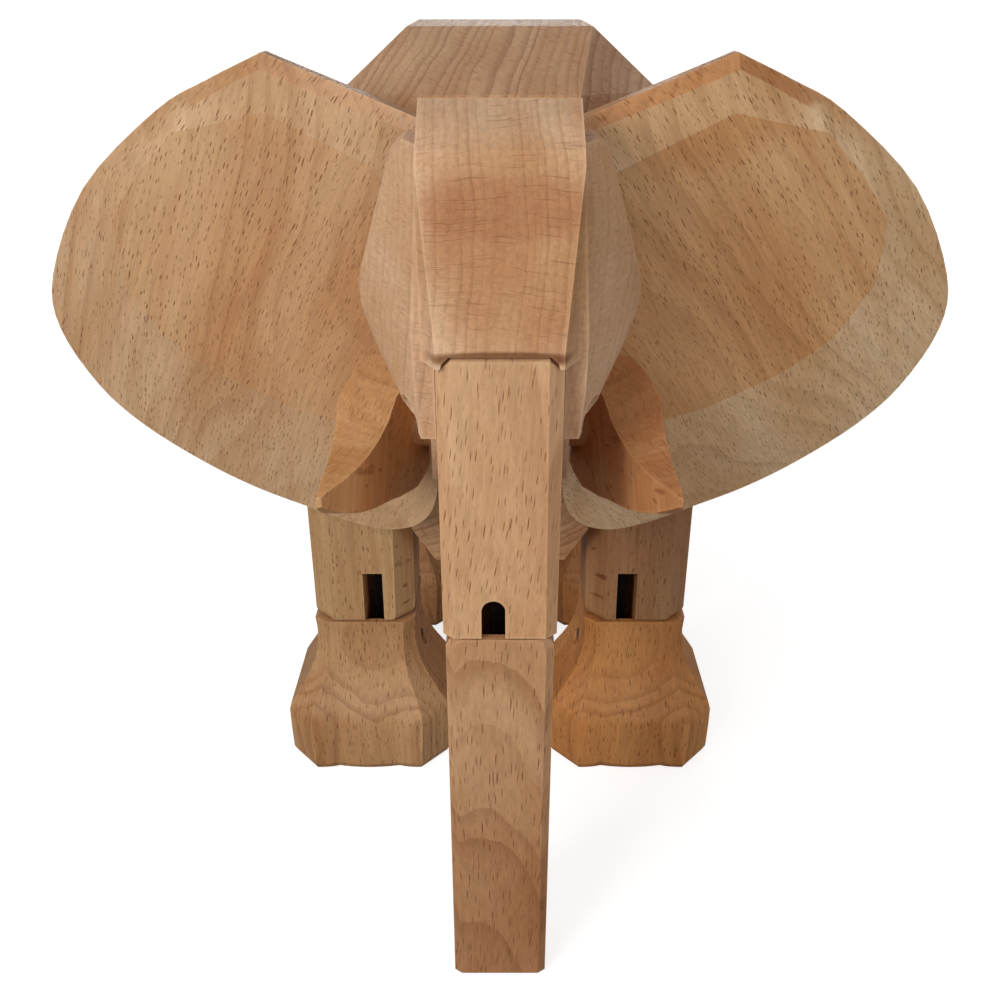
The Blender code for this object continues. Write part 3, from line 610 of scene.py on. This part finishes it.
for pair in ("front", "rear"):
    for side_name, side in (("left", 1), ("right", -1)):
        corner = f"{pair}_{side_name}"
        # each corner is cut from its own stretch of wood
        corner_seed += 1.7
        dress(
            f"{corner}_upper_leg",
            beech(
                f"{corner}_leg_beech", *LEG_TONES[corner], grain=(side * 0.03, 0.02, 1),
                outward=(side * 0.8, -0.6, 0), centre=middle(f"{corner}_upper_leg"),
                heart=60, ring=2.8, rings=0.35, flecks=0.85, fleck_length=0.75, seed=corner_seed,
            ),
            0.6,
        )
        dress(
            f"{corner}_foot",
            beech(
                f"{corner}_foot_beech", *FOOT_TONES[corner], grain=(side * 0.04, 0.05, 1),
                outward=(side * 0.2, -1, 0), centre=middle(f"{corner}_foot"),
                heart=42, ring=2.0, rings=0.6, flecks=0.9, fleck_length=0.8,
                seed=corner_seed + 0.8,
            ),
            0.9, 18.0,
        )
        dress(f"{corner}_plug", dark_wood(f"{corner}_plug_wood", srgb(196, 150, 108)), 0.3)
        dress(f"{corner}_foot_dowel", dark_wood(f"{corner}_dowel_wood", srgb(120, 80, 54)), 0.2)
dress(
    "tail",
    beech("tail_beech", *TRUNK_TONES, centre=middle("tail"), heart=40, seed=21.0),
    0.3, 20.0,
)
for name in ("trunk_hinge_dowel", "trunk_cord_dowel", "tusk_dowel"):
    dress(name, dark_wood(f"{name}_wood", srgb(112, 74, 52)), 0.25)

# --------------------------------------------------------------------- cords

ACROSS = Vector((1, 0, 0))
BLACK = elastic("black_elastic")

# sizes in millimetres
CORD_R = 1.45
TAIL_CORD_R = 1.15
ROUND_STEPS = 24
LENGTH_STEP = 0.25
EYE_STEP = 0.3
EYE_HALF_WIDTH = 1.35
BRAID_STRANDS = 5
BRAID_PITCH = 4.2
BRAID_DEPTH = 0.07  # share of the radius
CUT_END = 0.5  # a cut end draws in over this length, to the share below
CUT_SHARE = 0.72

# the (inner, outer) radii of the eyes
TRUNK_LOW_EYE = (3.95, 5.35)
TRUNK_HIGH_EYE = (3.75, 4.95)
FOOT_EYE = (2.35, 3.75)
AXLE_EYE = (1.95, 3.55)

# knots: where each starts and stops along its cord, and its radius
AXLE_KNOTS = ((0.0, 2.4, 2.75), (78.6, 81.0, 2.75))
NECK_KNOTS = ((0.2, 3.6, 3.15), (27.8, 33.0, 3.15))
KNOT_BLUNTNESS = 0.4


def braided(bm, path, closed=False, across=ACROSS):
    """A braided tube along path, in millimetres.

    The path's points hold (centre, tangent, half across, half up), and across is square
    to every tangent.
    """
    rings = []
    run = 0.0
    before = path[0][0]
    for centre, tangent, half_across, half_up in path:
        run += (centre - before).length
        before = centre
        up = tangent.cross(across).normalized()
        lay = 2 * math.pi * run / BRAID_PITCH
        ring = []
        for j in range(ROUND_STEPS):
            a = 2 * math.pi * j / ROUND_STEPS
            plait = math.sin(BRAID_STRANDS * a + lay) * math.sin(BRAID_STRANDS * a - lay)
            swell = 1 - BRAID_DEPTH * (0.5 - 0.5 * plait)
            offset = across * half_across * math.cos(a) + up * half_up * math.sin(a)
            ring.append(bm.verts.new((centre + offset * swell) * MM))
        rings.append(ring)
    if closed:
        rings.append(rings[0])
    for one, two in zip(rings, rings[1:]):
        for j in range(ROUND_STEPS):
            k = (j + 1) % ROUND_STEPS
            bm.faces.new((one[j], one[k], two[k], two[j]))
    if not closed:
        bm.faces.new(tuple(reversed(rings[0])))
        bm.faces.new(tuple(rings[-1]))


def strand(start, stop, profile):
    """Path points from start to stop; profile maps the distance run to a radius."""
    length = (stop - start).length
    along = (stop - start).normalized()
    count = round(length / LENGTH_STEP)
    path = []
    for i in range(count + 1):
        run = length * i / count
        radius = profile(run, length)
        path.append((start + along * run, along, radius, radius))
    return path


def even(radius):
    """A cord of one thickness, with its cut ends drawn in a little."""
    def profile(run, length):
        near = min(1.0, min(run, length - run) / CUT_END)
        return radius * (CUT_SHARE + (1 - CUT_SHARE) * near ** 0.5)
    return profile


def knotted(radius, knots):
    """A cord with a round stopper knot at each (from, to, radius) along it."""
    def profile(run, length):
        size = even(radius)(run, length)
        for low, high, bulge in knots:
            if low < run < high:
                share = (run - low) / (high - low)
                size = max(size, bulge * math.sin(math.pi * share) ** KNOT_BLUNTNESS)
        return size
    return profile


def eye(bm, centre, inner, outer):
    """A loop of the cord round a dowel or cord that lies along X."""
    middle_radius = (inner + outer) / 2
    path = []
    count = round(2 * math.pi * middle_radius / EYE_STEP)
    for i in range(count):
        a = 2 * math.pi * i / count
        spoke = Vector((0, math.cos(a), math.sin(a)))
        tangent = Vector((0, -math.sin(a), math.cos(a)))
        path.append((centre + spoke * middle_radius, tangent, EYE_HALF_WIDTH, (outer - inner) / 2))
    braided(bm, path, closed=True)


def as_cord(bm, node):
    """Turns bm into the cord that stands for a CAD node."""
    name = f"{node}_braid"
    bmesh.ops.recalc_face_normals(bm, faces=bm.faces)
    mesh = bpy.data.meshes.new(name)
    bm.to_mesh(mesh)
    bm.free()
    mesh.shade_smooth()
    mesh.materials.append(BLACK)
    obj = bpy.data.objects.new(name, mesh)
    bpy.context.scene.collection.objects.link(obj)
    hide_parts(node)
    return obj


def looped_cord(node, low, high):
    """An upright cord with an eye at each end.

    low and high are each the piece that the eye goes round and the eye's radii.
    """
    x = middle(node)[0] / MM
    bm = bmesh.new()
    tops = []
    for piece, (inner, outer) in (low, high):
        about = Vector(middle(piece)) / MM
        about.x = x
        eye(bm, about, inner, outer)
        tops.append((about, (inner + outer) / 2))
    (low_eye, low_radius), (high_eye, high_radius) = tops
    start = Vector((x, low_eye.y, low_eye.z + low_radius))
    stop = Vector((x, low_eye.y, high_eye.z - high_radius))
    braided(bm, strand(start, stop, lambda run, length: CORD_R))
    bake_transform(as_cord(bm, node))


def straight_cord(node, axis, profile):
    """A cord through the middle of its CAD solid's box: along X where axis is 0, along Y where 1."""
    start = Vector(middle(node)) / MM
    stop = start.copy()
    for point, corner in zip((start, stop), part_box(node)):
        point[axis] = corner[axis] / MM
    across = (stop - start).orthogonal().normalized()
    bm = bmesh.new()
    braided(bm, strand(start, stop, profile), across=across)
    return as_cord(bm, node)


looped_cord(
    "trunk_cord", ("trunk_cord_dowel", TRUNK_LOW_EYE), ("trunk_hinge_dowel", TRUNK_HIGH_EYE),
)
for pair in ("front", "rear"):
    for side in ("left", "right"):
        corner = f"{pair}_{side}"
        looped_cord(
            f"{corner}_leg_cord", (f"{corner}_foot_dowel", FOOT_EYE), (f"{pair}_axle_cord", AXLE_EYE),
        )
    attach(straight_cord(f"{pair}_axle_cord", 0, knotted(CORD_R, AXLE_KNOTS)), "torso")
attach(straight_cord("ear_cord", 0, even(CORD_R)), "head")
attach(straight_cord("neck_cord", 1, knotted(CORD_R, NECK_KNOTS)), "torso")
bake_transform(straight_cord("tail_cord", 1, even(TAIL_CORD_R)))


# --------------------------------------------------------------------- stage

FLOOR_HALF = 4.0
FLOOR_SEEN = (0.62, 0.62, 0.62, 1)
FLOOR_BOUNCE = (0.30, 0.29, 0.28, 1)
FLOOR_GLOW = 0.72
GLOW_RISES = (0.25, 1.1)  # metres from the figure
SKY_LOW = 0.18
SKY_HIGH = 0.42
SKY_SEEN = 1.05

CAMERA_PLACE = (0.0, -0.2447, 0.176)
CAMERA_TILT = 65.0  # degrees up from straight down
CAMERA_SENSOR = 36.0
CAMERA_LENS = 38.592
CAMERA_CLIP = (0.01, 20.0)


def floor():
    """A plain pale floor: it looks bright, but throws little light back up."""
    bm = bmesh.new()
    bmesh.ops.create_grid(bm, x_segments=1, y_segments=1, size=FLOOR_HALF)
    mesh = bpy.data.meshes.new("floor")
    bm.to_mesh(mesh)
    bm.free()
    obj = bpy.data.objects.new("floor", mesh)
    bpy.context.scene.collection.objects.link(obj)
    material = bpy.data.materials.new("floor_white")
    t = Tree(material)
    place = t.node("ShaderNodeTexCoord").outputs["Object"]
    grain = t.noise(place, 30.0, 3.0, 0.5)[0]
    seen = t.node("ShaderNodeLightPath").outputs["Is Camera Ray"]
    colour = t.mix(grain, FLOOR_SEEN, shaded(FLOOR_SEEN, (0.98, 0.98, 0.98)))
    colour = t.mix(seen, FLOOR_BOUNCE, colour)
    away = t.vector("LENGTH", place)
    glow = t.math("MULTIPLY", seen, t.step(away, *GLOW_RISES, FLOOR_GLOW, 1.0))
    t.finish(colour, 0.95, Emission_Color=(1, 1, 1, 1), Emission_Strength=glow)
    mesh.materials.append(material)


def world():
    """White to the camera; as light, a sky that is brighter overhead."""
    made = bpy.data.worlds.new("studio")
    bpy.context.scene.world = made
    t = Tree(made)
    up = t.split(t.node("ShaderNodeTexCoord").outputs["Generated"])[2]
    sky = t.step(up, -0.2, 1.0, SKY_LOW, SKY_HIGH)
    seen = t.node("ShaderNodeLightPath").outputs["Is Camera Ray"]
    back = t.node("ShaderNodeBackground")
    t.put(back.inputs["Color"], (1, 1, 1, 1))
    more = t.math("SUBTRACT", SKY_SEEN, sky)
    t.put(back.inputs["Strength"], t.math("MULTIPLY_ADD", seen, more, sky))
    out = t.node("ShaderNodeOutputWorld")
    t.tree.links.new(back.outputs[0], out.inputs["Surface"])


def lamp(name, place, size, power, colour, aim=(0, -0.03, 0.09)):
    """A soft round light at place, pointing at aim."""
    data = bpy.data.lights.new(name, "AREA")
    data.shape = "DISK"
    data.size = size
    data.energy = power
    data.color = colour
    obj = bpy.data.objects.new(name, data)
    obj.location = place
    obj.rotation_euler = (Vector(aim) - Vector(place)).to_track_quat("-Z", "Y").to_euler()
    obj.visible_camera = False
    bpy.context.scene.collection.objects.link(obj)


def camera():
    """The camera in front of the figure, looking along +Y and down at it."""
    data = bpy.data.cameras.new("camera")
    data.sensor_width = CAMERA_SENSOR
    data.lens = CAMERA_LENS
    data.clip_start, data.clip_end = CAMERA_CLIP
    obj = bpy.data.objects.new("camera", data)
    obj.location = CAMERA_PLACE
    obj.rotation_euler = (math.radians(CAMERA_TILT), 0.0, 0.0)
    bpy.context.scene.collection.objects.link(obj)
    bpy.context.scene.camera = obj


floor()
world()
lamp("key", (-0.42, -0.58, 0.38), 0.40, 3.3, (1.0, 0.985, 0.96))
lamp("fill", (0.5, -0.6, 0.35), 0.5, 1.25, (0.97, 0.985, 1.0))
lamp("back", (0.0, 0.80, 0.08), 0.5, 2.6, (1.0, 0.99, 0.98), aim=(0, 0.08, 0.06))
camera()
bpy.context.scene.view_settings.view_transform = "Standard"
bpy.context.scene.view_settings.look = "None"
